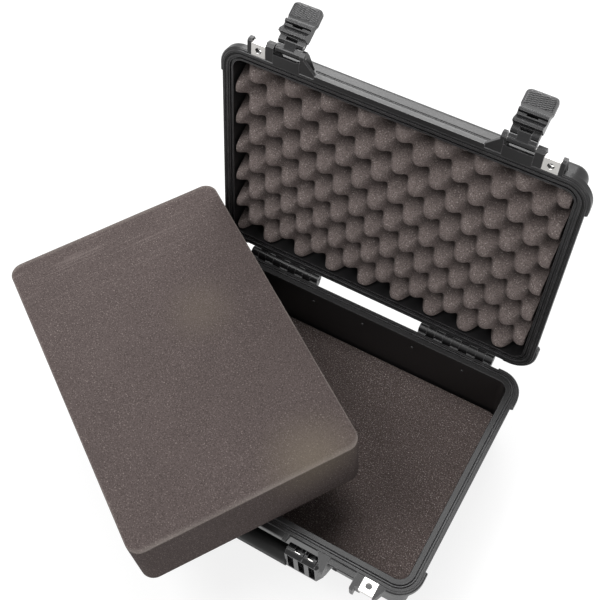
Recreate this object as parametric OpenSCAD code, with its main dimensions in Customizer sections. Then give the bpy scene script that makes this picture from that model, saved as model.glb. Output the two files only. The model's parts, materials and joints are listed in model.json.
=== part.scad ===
// Hard carrying case for microphones: moulded base and lid, two double-throw
// latches, a folding handle, two knuckle hinges, a sealing ring and foam.
// Millimetres. Origin: centre of the underside. +X right, +Y to the hinges, +Z up.
// It is shown open, with the loose foam block laid across the rim.

/* [Case] */
// Width of the mouth, inside the walls
mouth_w = 425; // [400:1:450]
// Depth of the mouth, front to back, inside the walls
mouth_d = 287; // [270:1:300]
// Corner radius of the mouth
mouth_r = 14; // [12:1:18]
// Height of the base, from the surface it stands on to the parting plane
base_h = 120; // [112:1:130]
// Height of the lid above the parting plane
lid_h = 50; // [48:1:56]
// Wall thickness of the moulded shells
wall_t = 4; // [3:0.5:5]
// How far the walls lean inward from rim to floor
draft = 3; // [2:0.5:4]
// Width of the rim flange, measured out from the mouth
flange_w = 14.5; // [14:0.5:16]
// Thickness of each rim flange
flange_t = 7; // [6:0.5:8]
// Height of the runners under the base
runner_h = 5; // [3:0.5:6]

/* [Opening] */
// Angle of the lid from closed
lid_open = 101; // [90:1:105]
// Turn of each latch link from its closed place
link_open = 120; // [100:1:125]
// Turn of each latch lever on its link
lever_open = 25; // [15:1:30]

/* [Hinges] */
// Distance of the hinge line behind the mouth
hinge_out = 23; // [22:0.5:25]
// Distance from the middle of each hinge to the side edge of the rim
hinge_side = 98.5; // [96:0.5:104]
// Length of each hinge
hinge_len = 105; // [95:1:115]
// Number of knuckles in each hinge
knuckles = 9; // [7:2:11]
// Outer radius of a knuckle
knuckle_r = 6.2; // [5.5:0.1:6.5]
// Radius of the hinge pins
hinge_pin_r = 2; // [1.5:0.25:2.5]

/* [Latches] */
// Distance from each latch to the padlock hole beside it
latch_gap = 37; // [36.5:0.5:39]
// Width of a latch lever at its hook
latch_w = 34; // [32:0.5:35]
// Width of the thumb pad of a latch lever
thumb_w = 37; // [35:0.5:38]
// Length of a latch lever below its pin
lever_len = 47; // [44:1:52]
// Width of the middle block of a latch link
link_w = 14; // [12:0.5:16]
// Distance from the lid pin to the lever pin
link_len = 11; // [10.5:0.25:12]
// Radius of the latch pins
latch_pin_r = 1.5; // [1.25:0.25:1.75]

/* [Handle] */
// Half the length of the soft grip
grip_half = 70; // [60:1:75]
// Thickness of the soft grip, front to back
grip_t = 22; // [20:1:24]
// Height of the soft grip
grip_h = 30; // [26:1:32]
// Drop from the handle pins to the foot of the grip
handle_drop = 48; // [44:1:54]
// Radius of the handle pins
handle_pin_r = 2.5; // [2:0.25:3]

/* [Padlock holes] */
// Distance from each padlock hole to the side edge of the rim
lock_side = 49; // [46:0.5:52]
// Radius of a padlock hole
lock_r = 4.1; // [3.5:0.1:4.5]
// Width of a padlock sleeve
sleeve_w = 18.4; // [17:0.2:19]
// Sheet thickness of a padlock sleeve
sleeve_t = 1.2; // [0.8:0.1:1.5]

/* [Foam] */
// Thickness of the flat pad in the base
pad_t = 25; // [20:1:30]
// Height of the loose foam block
block_h = 97; // [92:1:100]
// Corner radius of the loose foam block
block_r = 17; // [14:1:25]
// Turn of the loose foam block on the rim
block_turn = -33.2; // [-35:0.1:-31]
// Distance between egg-crate peaks in one row
crate_pitch = 48.4; // [44:0.1:52]
// Thickness of the egg-crate foam at its peaks
crate_h = 38; // [34:1:40]
// Depth of the egg-crate valleys
crate_depth = 24; // [20:1:26]
// Gap left round every soft piece
soft_gap = 0.3; // [0.2:0.05:0.5]

/* [Hidden] */
$fn = 48;
eps = 0.01;
run_fit = 0.05;         // radial clearance of a pin that turns
side_fit = 0.35;        // sideways clearance of a piece that turns
part_gap = 0.15;        // half the gap between the closed rims
body_black = [0.13, 0.13, 0.14];
part_black = [0.10, 0.10, 0.11];
steel = [0.80, 0.80, 0.80];
foam_brown = [0.36, 0.33, 0.32];
pad_brown = [0.22, 0.19, 0.19];

// Rim steps, as distances out from the mouth edge
band_w = 6.8;           // wide inner band of the base rim
band_h = 1.0;           // how far it stands above the parting plane
land_w = 8.0;           // outer edge of the first groove
ridge_w = 9.3;          // outer edge of the thin ridge
groove_w = 11.0;        // outer edge of the second groove
groove_d = 3.0;         // depth of both grooves
lid_lip = 2.3;          // inner lip of the lid rim
lid_groove = 4.7;       // outer edge of the groove beside that lip
seal_in = 8.8;          // inner edge of the seal groove in the lid
seal_w = 2.7;           // width of the seal groove
seal_d = 3.0;           // depth of the seal groove
seal_r = 1.25;          // radius of the sealing ring's section
rib_top = groove_d + 0.8;                    // ribs under the base rim start below its grooves
lid_rib = seal_d + 1.2;                      // ribs over the lid rim start above the seal groove
lid_groove_d = 2.6;                          // depth of the groove beside the lid's lip
rim_round = 0.6;

floor_t = 4;
floor_z = -base_h + runner_h + floor_t;      // inside floor, from the parting plane
under_z = -base_h + runner_h;                // underside of the floor
lid_in_z = lid_h - wall_t;                   // inside of the lid top
foot_r = 10;                                 // outer radius where wall meets floor
inner_r = 1.2;                               // inner radius there
half_w = mouth_w / 2;
half_d = mouth_d / 2;
flange_x = half_w + flange_w;
flange_y = half_d + flange_w;
wall_y = half_d + wall_t;
hinge_y = half_d + hinge_out;
knuckle_w = hinge_len / knuckles;
lock_x = flange_x - lock_side;               // padlock holes, latches and hinges keep their
latch_x = lock_x - latch_gap;                // distance from the side edges
hinge_x = flange_x - hinge_side;

// Latch places in the closed case: y out of the front, z from the parting plane
bay_half = latch_w / 2 + 0.4;                // half width of a latch bay
fin_t = 4.7;                                 // thickness of the inner guard fins
fin_y = flange_y + 22;                       // reach of the fins on the base
tip_r = 2.3;                                 // rounding of their tips
lid_fin_y = flange_y + 26;                   // reach of the fins on the lid
gusset_run = 18;                             // run of the gussets along the rim
latch_pin_y = -(flange_y + 17.5);
latch_pin_z = 7;
lever_pin_dy = -0.5;
barrel_r = 4.2;                              // link barrel on the lid pin
knee_r = 3.6;                                // link barrel on the lever pin
arm_r = 4.2;                                 // lever arms round their pin
web_z = arm_r + 0.4 - link_len;              // foot of the link's web, above the lever arms
hook_z = -5.3;                               // hook ledge below the lever pin
hook_y = 12;                                 // reach of the hook towards the case
thumb_z = -28.5;                             // top of the wide thumb pad, below the guard fins
catch_y = flange_y + 8.5;                    // reach of the catch rib
catch_z = latch_pin_z - link_len + hook_z + 0.5;   // underside of the catch rib
shelf_y = flange_y + 12;                     // reach of the lid shelf behind a latch
front_lip = 4;                               // extra width of the lid flange between the latches

// Padlock lugs
lug_y = flange_y + 17;
lug_t = 7;
lug_z = 1;
lock_y = -(flange_y + 8);
sleeve_fit = 0.1;
lug_hole = 0.6;

// Handle
handle_y = -(flange_y + 11);
handle_z = -18;
arm_out = latch_x - bay_half - fin_t - side_fit;
arm_in = grip_half;
arm_half = 9;                                // half the thickness of the arms
arm_top = 7;                                 // arm above the pin
end_cut = 7;                                 // cut at the outer front corner of the arms
pocket_d = 6.3;                              // depth of the front pockets
pin_in = arm_in + 8;                         // inner end of the handle pins
core_h = 14;
core_t = 12;

bump_out = 3.2;                              // corner bumpers beyond the flange
bump_h = 12;
bump_run_x = 9;
bump_run_y = 12;
nub_x = 7.5;                                 // stop on the catch rib, from the side of its bay

// Ribs down the walls, runners under the floor and bands on the lid
rib_half = 3;
side_rib_gap = 52;
middle_rib = 46;
end_rib = half_w - 22.5;
runner_y = half_d - 48.5;
runner_in = 60;
runner_w = 26;
runner_r = 12;
band_w_top = runner_w + 4;

// Small pegs on the inside of the back wall
peg_x = [-72, 3, 77, 149];
peg_z = -17.6;
peg_r = 1.8;

vent_y = 0;
vent_z = -38;
vent_r = 11;

// ---------------------------------------------------------------- helpers

// Sweeps a section round a rounded rectangle. In the section, x runs out
// from the rectangle and y runs up.
module sweep(w, d, r) {
    for (a = [0, 180]) rotate(a) {
        translate([w / 2, d / 2 - r, 0]) rotate([90, 0, 0]) linear_extrude(d - 2 * r) children();
        translate([w / 2 - r, d / 2 - r, 0]) rotate_extrude(angle = 90) translate([r, 0]) children();
    }
    for (a = [90, 270]) rotate(a) {
        translate([d / 2, w / 2 - r, 0]) rotate([90, 0, 0]) linear_extrude(w - 2 * r) children();
        translate([d / 2 - r, w / 2 - r, 0]) rotate_extrude(angle = 90) translate([r, 0]) children();
    }
}

module round_rect(w, d, r) {
    square([w - 2 * r, d], center = true);
    square([w, d - 2 * r], center = true);
    for (x = [-1, 1], y = [-1, 1]) translate([x * (w / 2 - r), y * (d / 2 - r)]) circle(r);
}

module slab(w, d, r, z0, z1) {
    translate([0, 0, z0]) linear_extrude(z1 - z0) round_rect(w, d, r);
}

// A box from its low corner to its high corner
module block(a, b) {
    translate(a) cube(b - a);
}

// A plate of one outline in the YZ plane, from x0 to x1
module fin(x0, x1, outline) {
    translate([x0, 0, 0]) rotate([90, 0, 90]) linear_extrude(x1 - x0) polygon(outline);
}

module x_rod(x0, x1, y, z, r) {
    translate([x0, y, z]) rotate([0, 90, 0]) cylinder(r = r, h = x1 - x0);
}

function arc(cx, cy, r, a0, a1, n) =
    [for (i = [0:n]) [cx + r * cos(a0 + (a1 - a0) * i / n), cy + r * sin(a0 + (a1 - a0) * i / n)]];

// The lid's own place: closed coordinates in, open place out
module lid_place() {
    translate([0, hinge_y, base_h]) rotate([-lid_open, 0, 0]) translate([0, -hinge_y, 0]) children();
}

// A latch link's place, from its pin in the lid
module link_place(side) {
    lid_place() translate([side * latch_x, latch_pin_y, latch_pin_z]) rotate([-link_open, 0, 0]) children();
}

// A latch lever's place, from its pin in the link
module lever_place(side) {
    link_place(side) translate([0, lever_pin_dy, -link_len]) rotate([-lever_open, 0, 0]) children();
}

// ---------------------------------------------------------------- base

module base_section() {
    polygon(concat(
        [[0, band_h - rim_round], [rim_round, band_h], [band_w - rim_round, band_h], [band_w, band_h - rim_round],
         [band_w, -groove_d], [land_w, -groove_d], [land_w, 0], [ridge_w, 0], [ridge_w, -groove_d],
         [groove_w, -groove_d], [groove_w, 0], [flange_w - rim_round, 0], [flange_w, -rim_round],
         [flange_w, 1 - flange_t], [flange_w - 1, -flange_t], [wall_t + 2, -flange_t - 1.5],
         [wall_t, -flange_t - 3.5]],
        arc(wall_t - draft - foot_r, under_z + foot_r, foot_r, 0, -90, 6),
        [[-draft - 8, under_z], [-draft - 8, floor_z], [-draft - inner_r, floor_z]],
        arc(-draft - inner_r, floor_z + inner_r, inner_r, -90, 0, 3)));
}

// Corner bumper section, from the wall out, z up
module bump_section(h) {
    polygon([[flange_w - 2, -1], [flange_w + bump_out - 1.5, -1], [flange_w + bump_out, -2.5],
        [flange_w + bump_out, 2 - h], [flange_w + bump_out - 2, -h], [wall_t - 1, -h - 6],
        [wall_t - 1, 0.5 - flange_t], [flange_w - 2, 0.5 - flange_t]]);
}

module bumpers(h) {
    for (sx = [0, 1], sy = [0, 1]) mirror([sx, 0, 0]) mirror([0, sy, 0]) {
        translate([half_w - mouth_r, half_d - mouth_r, 0])
            rotate_extrude(angle = 90) translate([mouth_r, 0]) bump_section(h);
        translate([half_w, half_d - mouth_r, 0]) rotate([90, 0, 0]) linear_extrude(bump_run_y - 2) bump_section(h);
        translate([half_w - mouth_r, half_d, 0]) rotate([90, 0, -90])
            mirror([1, 0, 0]) linear_extrude(bump_run_x - 2) bump_section(h);
    }
}

module base_knuckle(x) {
    difference() {
        union() {
            x_rod(x, x + knuckle_w - side_fit, hinge_y, 0, knuckle_r);
            fin(x, x + knuckle_w - side_fit,
                [[hinge_y, -knuckle_r], [hinge_y, -1], [hinge_y - knuckle_r + 1, -1.5], [wall_y - 1, -rib_top],
                 [wall_y - 1, -22], [wall_y + 4, -22]]);
        }
        x_rod(x - 1, x + knuckle_w + 1, hinge_y, 0, hinge_pin_r + run_fit);
    }
}

module padlock_lug(x0, x1) {
    difference() {
        block([x0, -lug_y + sleeve_t + sleeve_fit, -lug_z - lug_t + sleeve_t + sleeve_fit],
            [x1, -flange_y + 1, -lug_z - sleeve_t - sleeve_fit]);
        translate([lock_x, lock_y, -20]) cylinder(r = lock_r + lug_hole, h = 40);
    }
}

module base_front(side) {
    mirror([side < 0 ? 1 : 0, 0, 0]) {
        bay_in = latch_x - bay_half;
        bay_out = latch_x + bay_half;
        lock_in = lock_x - sleeve_w / 2 - 0.3;
        lock_out = lock_x + sleeve_w / 2 + 0.3;
        // inner guard fin, which also carries the handle pin
        difference() {
            fin(bay_in - fin_t, bay_in, [[-wall_y + 1, -rib_top], [-flange_y, -1], [-fin_y + 1, -1], [-fin_y, -3],
                [-fin_y, -18], [-fin_y + 8, -30], [-wall_y + 1, -52]]);
            x_rod(bay_in - fin_t - 1, bay_in + 1, handle_y, handle_z, handle_pin_r + run_fit);
        }
        // sloping gusset between the flange and that fin
        translate([0, 0, -5]) linear_extrude(4) polygon(concat(
            [[bay_in - gusset_run, -flange_y + 2], [bay_in - gusset_run, -flange_y]],
            arc(bay_in - tip_r, -fin_y + tip_r, tip_r, 205, 360, 6), [[bay_in, -flange_y + 2]]));
        // catch rib across the latch bay
        fin(bay_in - eps, bay_out + eps, [[-wall_y + 1, -rib_top], [-catch_y + 1, -1.5], [-catch_y, -2.5],
            [-catch_y, catch_z], [-catch_y + 3, catch_z], [-wall_y + 1, catch_z - 8]]);
        // small stop on the catch rib
        fin(bay_in + nub_x, bay_in + nub_x + 5.5, [[-catch_y + 3, -3], [-catch_y + 3, -1.6], [-catch_y - 0.6, -2],
            [-catch_y - 2.2, -3.2], [-catch_y - 2.2, -5], [-catch_y + 1, -7]]);
        // outer guard fin
        fin(bay_out, lock_in, [[-wall_y + 1, -rib_top], [-flange_y, -1], [-fin_y + 9, -1], [-fin_y + 8, -5],
            [-fin_y + 8, -28], [-wall_y + 1, -46]]);
        translate([0, 0, -18]) linear_extrude(17) polygon(concat([[bay_out, -flange_y]],
            arc(bay_out + tip_r, -fin_y + tip_r, tip_r, 180, 270, 3), [[bay_out + 5.5, -fin_y],
                [bay_out + 5.5, -fin_y + 6], [lock_in, -fin_y + 9], [lock_in, -flange_y]]));
        // fin beyond the padlock hole, sloping back to the corner
        translate([0, 0, -14]) linear_extrude(13) polygon([[lock_out, -flange_y + 3], [lock_out, -fin_y + 3],
            [lock_out + 2.5, -fin_y + 3], [lock_out + 10, -flange_y - 1], [lock_out + 10, -flange_y + 3]]);
        fin(lock_out, lock_out + 4, [[-wall_y + 1, -rib_top], [-flange_y, -1], [-fin_y + 6, -13], [-wall_y + 1, -36]]);
        padlock_lug(lock_in, lock_out);
    }
}

// Middle of the front: wider flange above the handle, with end ribs
module base_middle() {
    block([-grip_half + 8, -flange_y - 7, -5.5], [grip_half - 8, -flange_y + 2, -1]);
    for (s = [-1, 1]) fin(s * (grip_half - 5.5) - 2.5, s * (grip_half - 5.5) + 2.5,
        [[-wall_y + 1, -rib_top], [-flange_y + 1, -0.4], [-flange_y - 9, -0.6], [-flange_y - 9.6, -2],
            [-flange_y - 9, -5], [-wall_y + 1, -24]]);
}

// Stiffening ribs down a wall, and the runners under the floor
module base_ribs() {
    rib_foot = under_z + foot_r + 2;
    rib_out = wall_t + 2;
    for (sx = [-1, 1], k = [-1.5:1:1.5]) mirror([sx < 0 ? 1 : 0, 0, 0])
        translate([0, k * side_rib_gap + rib_half, 0]) rotate([90, 0, 0]) linear_extrude(2 * rib_half)
            polygon([[half_w + 2, -flange_t], [half_w + rib_out + 5, -flange_t], [half_w + rib_out, -18],
                [half_w + rib_out - draft, rib_foot], [half_w, rib_foot - 2]]);
    for (x = [-end_rib, -middle_rib, 0, middle_rib, end_rib]) fin(x - rib_half, x + rib_half,
        [[half_d + 2, -flange_t], [half_d + rib_out + 5, -flange_t],
        [half_d + rib_out, -18], [half_d + rib_out - draft, rib_foot], [half_d, rib_foot - 2]]);
    for (k = [-1, 0, 1]) translate([0, k * runner_y, 0])
        slab(mouth_w - runner_in, runner_w, runner_r, -base_h, under_z + 1);
}

module base_shell() {
    color(body_black) translate([0, 0, base_h]) difference() {
        union() {
            sweep(mouth_w, mouth_d, mouth_r) base_section();
            slab(mouth_w - 2 * draft - 8, mouth_d - 2 * draft - 8, 6, under_z, floor_z);
            bumpers(bump_h);
            for (s = [-1, 1]) base_front(s);
            base_middle();
            base_ribs();
            for (s = [-1, 1], i = [0:2:knuckles - 1])
                base_knuckle(s * hinge_x - hinge_len / 2 + i * knuckle_w + side_fit / 2);
            // small pegs on the inside of the back wall
            for (x = peg_x) translate([x, half_d - 2, peg_z]) rotate([-90, 0, 0]) cylinder(r = peg_r, h = 3);
            // boss for the vent
            translate([-half_w - wall_t - 2, vent_y, vent_z]) rotate([0, 90, 0]) cylinder(r = vent_r + 3, h = 5);
        }
        translate([-half_w - 30, vent_y, vent_z]) rotate([0, 90, 0]) cylinder(r = 6 + run_fit, h = 40);
    }
}

module base_pad() {
    w = mouth_w - 2 * (draft + inner_r + soft_gap);
    d = mouth_d - 2 * (draft + inner_r + soft_gap);
    color(pad_brown) slab(w, d, mouth_r - draft, base_h + floor_z + soft_gap, base_h + floor_z + soft_gap + pad_t);
}

// ---------------------------------------------------------------- lid

module lid_section() {
    polygon(concat(
        [[0, band_h + 2 * part_gap], [lid_lip, band_h + 2 * part_gap], [lid_lip, band_h + lid_groove_d],
         [lid_groove, band_h + lid_groove_d], [lid_groove, band_h + 2 * part_gap], [band_w + 0.3, band_h + 2 * part_gap],
         [band_w + 0.3, part_gap], [seal_in, part_gap],
         [seal_in, part_gap + seal_d], [seal_in + seal_w, part_gap + seal_d], [seal_in + seal_w, part_gap],
         [flange_w - rim_round, part_gap], [flange_w, part_gap + rim_round], [flange_w, flange_t - 1],
         [flange_w - 1, flange_t], [wall_t + 1.5, flange_t + 1], [wall_t, flange_t + 3],
         [wall_t - 1, 22], [wall_t, 22.6], [wall_t, 24.6], [wall_t - 1.2, 25.2]],
        arc(wall_t - draft - foot_r + 1, lid_h - foot_r, foot_r, 0, 90, 6),
        [[-draft - 8, lid_h], [-draft - 8, lid_in_z], [-draft - inner_r, lid_in_z]],
        arc(-draft - inner_r, lid_in_z - inner_r, inner_r, 90, 0, 3)));
}

module lid_knuckle(x) {
    difference() {
        union() {
            x_rod(x, x + knuckle_w - side_fit, hinge_y, 0, knuckle_r);
            fin(x, x + knuckle_w - side_fit,
                [[hinge_y, knuckle_r], [hinge_y, 1], [hinge_y - knuckle_r + 1, 1.5], [flange_y - 2, 1.5],
                 [flange_y - 2, lid_rib], [wall_y - 1, lid_rib],
                 [wall_y - 1, 20], [wall_y + 3, 20]]);
        }
        x_rod(x - 1, x + knuckle_w + 1, hinge_y, 0, hinge_pin_r + run_fit);
    }
}

module lid_front(side) {
    mirror([side < 0 ? 1 : 0, 0, 0]) {
        bay_in = latch_x - bay_half;
        bay_out = latch_x + bay_half;
        lock_in = lock_x - sleeve_w / 2 - 0.3;
        lock_out = lock_x + sleeve_w / 2 + 0.3;
        difference() {
            union() {
                // inner guard fin
                fin(bay_in - fin_t, bay_in, [[-wall_y + 1, lid_rib], [-flange_y + 2, lid_rib], [-flange_y + 2, 1],
                    [-lid_fin_y + 4, 1], [-lid_fin_y, 5], [-lid_fin_y + 1, 10],
                    [-lid_fin_y + 8, 15], [-wall_y + 1, 30]]);
                // outer guard fin
                fin(bay_out, lock_in, [[-wall_y + 1, lid_rib], [-flange_y + 2, lid_rib], [-flange_y + 2, 1],
                    [-lid_fin_y + 7, 1], [-lid_fin_y + 4, 5], [-lid_fin_y + 5, 11],
                    [-lid_fin_y + 12, 15], [-wall_y + 1, 28]]);
            }
            x_rod(bay_in - fin_t - 1, lock_in + 1, latch_pin_y, latch_pin_z, latch_pin_r + run_fit);
        }
        // sloping gusset from the flange to the inner fin
        translate([0, 0, 1]) linear_extrude(4) polygon([[bay_in - gusset_run - 2, -flange_y + 2],
            [bay_in - gusset_run - 2, -flange_y - front_lip], [bay_in - fin_t, -shelf_y - 6],
            [bay_in - 1, -shelf_y - 6], [bay_in - 1, -flange_y + 2]]);
        // shelf behind the latch
        block([bay_in - eps, -shelf_y, part_gap], [bay_out + eps, -flange_y + 2, 4]);
        block([bay_in - eps, -shelf_y - 1.5, part_gap], [bay_in + 3.5, -flange_y + 2, 3]);
        // fin beyond the padlock hole
        fin(lock_out, lock_out + 5, [[-wall_y + 1, lid_rib], [-flange_y + 2, lid_rib], [-flange_y + 2, 1],
            [-lid_fin_y + 8, 1], [-lid_fin_y + 6, 4], [-lid_fin_y + 6, 9],
            [-wall_y + 1, 26]]);
        mirror([0, 0, 1]) padlock_lug(lock_in, lock_out);
    }
}

// Raised bands across the lid top, for stacking
module lid_top() {
    for (k = [-1, 0, 1], s = [-1, 1]) translate([s * (mouth_w / 4 + 8), k * runner_y, 0])
        slab(mouth_w / 2 - runner_in, band_w_top, runner_r, lid_h - 1, lid_h + 2.5);
}

module lid_shell() {
    color(body_black) lid_place() union() {
        sweep(mouth_w, mouth_d, mouth_r) lid_section();
        slab(mouth_w - 2 * draft - 8, mouth_d - 2 * draft - 8, 6, lid_in_z, lid_h);
        mirror([0, 0, 1]) bumpers(bump_h);
        for (s = [-1, 1]) lid_front(s);
        block([-latch_x + bay_half + gusset_run + 1, -flange_y - front_lip, part_gap],
            [latch_x - bay_half - gusset_run - 1, -flange_y + 2, flange_t - 1]);
        lid_top();
        for (s = [-1, 1], i = [1:2:knuckles - 2])
            lid_knuckle(s * hinge_x - hinge_len / 2 + i * knuckle_w + side_fit / 2);
    }
}

module lid_seal() {
    color(part_black) lid_place() sweep(mouth_w, mouth_d, mouth_r)
        translate([seal_in + seal_w / 2, part_gap + seal_d - seal_r - 0.2]) circle(seal_r, $fn = 24);
}

// Egg-crate foam: a height field with staggered peaks, on a grid with four
// cells from peak to peak, cut off at the foam's edges
foam_in = draft + mouth_r / 4;      // its square corners stay inside the lid's round ones
foam_w = mouth_w - 2 * foam_in;
foam_d = mouth_d - 2 * foam_in;
crate_back = lid_in_z - soft_gap;
crate_x0 = 9.3;
crate_y0 = 1;
crate_cell = crate_pitch / 4;
crate_edge = 3;         // least width of a cell at the edge
function crate_line(half, at) = concat([-half],
    [for (k = [ceil((-half + crate_edge - at) / crate_cell):floor((half - crate_edge - at) / crate_cell)])
        at + k * crate_cell], [half]);
function crate_wave(x, y) = cos(360 * (x - crate_x0) / crate_pitch) * cos(360 * (y - crate_y0) / crate_pitch);
function crate_top(x, y) = crate_back - crate_h + crate_depth * 0.5 * (1 - crate_wave(x, y));
module lid_foam() {
    xs = crate_line(foam_w / 2, crate_x0);
    ys = crate_line(foam_d / 2, crate_y0);
    nx = len(xs) - 1;
    ny = len(ys) - 1;
    row = ny + 1;
    count = (nx + 1) * row;
    low = [for (x = xs, y = ys) [x, y, crate_top(x, y)]];
    rim = concat([for (i = [0:nx - 1]) [i, 0]], [for (j = [0:ny - 1]) [nx, j]],
        [for (i = [nx:-1:1]) [i, ny]], [for (j = [ny:-1:1]) [0, j]]);
    high = [for (k = rim) [xs[k[0]], ys[k[1]], crate_back]];
    n = len(rim);
    faces = concat(
        [for (i = [0:nx - 1], j = [0:ny - 1]) let (a = i * row + j)
            (i + j) % 2 == 0 ? [a, a + row, a + row + 1] : [a, a + row, a + 1]],
        [for (i = [0:nx - 1], j = [0:ny - 1]) let (a = i * row + j)
            (i + j) % 2 == 0 ? [a, a + row + 1, a + 1] : [a + row, a + row + 1, a + 1]],
        [for (k = [0:n - 1]) let (a = rim[k], b = rim[(k + 1) % n])
            [a[0] * row + a[1], count + k, b[0] * row + b[1]]],
        [for (k = [0:n - 1]) let (b = rim[(k + 1) % n]) [count + k, count + (k + 1) % n, b[0] * row + b[1]]],
        [for (k = [0:n - 1]) [count + (k + 1) % n, count + k, count + n]]);
    color(foam_brown) lid_place()
        polyhedron(concat(low, high, [[0, 0, crate_back]]), faces);
}

// ---------------------------------------------------------------- foam block

block_w = mouth_w - 2;
block_d = mouth_d - 1;
block_clear = 0.8;      // least gap to the open lid's corner
block_shift = 93.4;     // how far its middle lies along the rim from the centre
block_u = [cos(block_turn), sin(block_turn)];
block_v = [-sin(block_turn), cos(block_turn)];
// The back face lies against the round corner of the open lid's rim
lid_corner = [mouth_r - half_w, hinge_y - (hinge_out + mouth_r) * cos(lid_open)];
lid_reach = (mouth_r + flange_w + bump_out) * norm([block_v[0], block_v[1] * cos(lid_open)]);
block_back = block_v * lid_corner - lid_reach - block_clear;
block_at = (block_back - block_d / 2) * block_v - block_shift * block_u;
module foam_block() {
    color(foam_brown) translate([block_at[0], block_at[1], 0]) rotate(block_turn)
        slab(block_w, block_d, block_r, base_h + band_h + soft_gap, base_h + band_h + soft_gap + block_h);
}

// ---------------------------------------------------------------- hinges and latches

module hinge_pin(side) {
    color(steel) translate([0, 0, base_h])
        x_rod(side * hinge_x - hinge_len / 2 + 1, side * hinge_x + hinge_len / 2 - 1, hinge_y, 0, hinge_pin_r);
}

// Folded sleeve with two drilled leaves round a padlock lug
module lock_sleeve(side) {
    mirror([side < 0 ? 1 : 0, 0, 0]) difference() {
        block([lock_x - sleeve_w / 2, -lug_y, -lug_z - lug_t], [lock_x + sleeve_w / 2, -flange_y - 0.2, -lug_z]);
        block([lock_x - sleeve_w, -lug_y + sleeve_t, -lug_z - lug_t + sleeve_t],
            [lock_x + sleeve_w, -flange_y + 1, -lug_z - sleeve_t]);
        translate([lock_x, lock_y, -20]) cylinder(r = lock_r, h = 40);
    }
}

module latch_link(side) {
    color(part_black) link_place(side) difference() {
        union() {
            x_rod(-latch_w / 2 + 1, latch_w / 2 - 1, 0, 0, barrel_r);
            x_rod(-link_w / 2, link_w / 2, lever_pin_dy, -link_len, knee_r);
            fin(-link_w / 2, link_w / 2, [[-barrel_r, 0], [-knee_r + lever_pin_dy, -link_len],
                [knee_r + lever_pin_dy, -link_len], [barrel_r - 0.6, 0]]);
            fin(-latch_w / 2 + 1, latch_w / 2 - 1, [[-barrel_r, 0], [-barrel_r + 0.4, web_z],
                [barrel_r - 1.8, web_z], [barrel_r - 0.6, 0]]);
        }
        x_rod(-latch_w, latch_w, 0, 0, latch_pin_r + run_fit);
        x_rod(-latch_w, latch_w, lever_pin_dy, -link_len, latch_pin_r + run_fit);
    }
}

module lever_outline() {
    polygon([[hook_y, hook_z], [hook_y, hook_z - 3.2], [7, hook_z - 7.6], [5, hook_z - 9.5], [5, hook_z - 12.5],
        [7.8, hook_z - 14], [7.8, hook_z - 17], [3.4, hook_z - 19], [1.6, hook_z - 22], [1, -lever_len + 3],
        [-0.6, -lever_len], [-3.4, -lever_len], [-4.8, -lever_len + 4], [-5.4, hook_z - 16], [-5.2, hook_z - 4],
        [-4.2, hook_z]]);
}

// Front view of the lever: hook part, then the wider thumb pad with round corners
module lever_front() {
    half = latch_w / 2;
    pad = thumb_w / 2;
    corner = 6;
    polygon(concat([[-half, 5], [-half, thumb_z + 4], [-pad, thumb_z]],
        arc(corner - pad, corner - lever_len, corner, 180, 270, 6),
        arc(pad - corner, corner - lever_len, corner, 270, 360, 6), [[pad, thumb_z], [half, thumb_z + 4], [half, 5]]));
}

module latch_lever(side) {
    arm_x = link_w / 2 + side_fit;
    arm_w = latch_w / 2 - 1 - arm_x;
    color(part_black) lever_place(side) difference() {
        union() {
            intersection() {
                translate([-thumb_w / 2 - 1, 0, 0]) rotate([90, 0, 90]) linear_extrude(thumb_w + 2) lever_outline();
                translate([0, 30, 0]) rotate([90, 0, 0]) linear_extrude(60) lever_front();
            }
            for (s = [-1, 1]) mirror([s < 0 ? 1 : 0, 0, 0]) {
                x_rod(arm_x, arm_x + arm_w, 0, 0, arm_r);
                block([arm_x, -arm_r, hook_z - 1], [arm_x + arm_w, arm_r, 0]);
            }
        }
        x_rod(-latch_w, latch_w, 0, 0, latch_pin_r + run_fit);
        // slot across the back of the hook
        block([-6.5, -2, hook_z - 12.8], [6.5, hook_y, hook_z - 11]);
    }
}

module latch_pin(side) {
    color(steel) lid_place()
        x_rod(side * latch_x - bay_half - fin_t + 0.4, side * latch_x + bay_half + fin_t - 0.4,
            latch_pin_y, latch_pin_z, latch_pin_r);
}

module lever_pin(side) {
    color(steel) link_place(side)
        x_rod(-latch_w / 2 + 1.2, latch_w / 2 - 1.2, lever_pin_dy, -link_len, latch_pin_r);
}

// ---------------------------------------------------------------- handle

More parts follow.
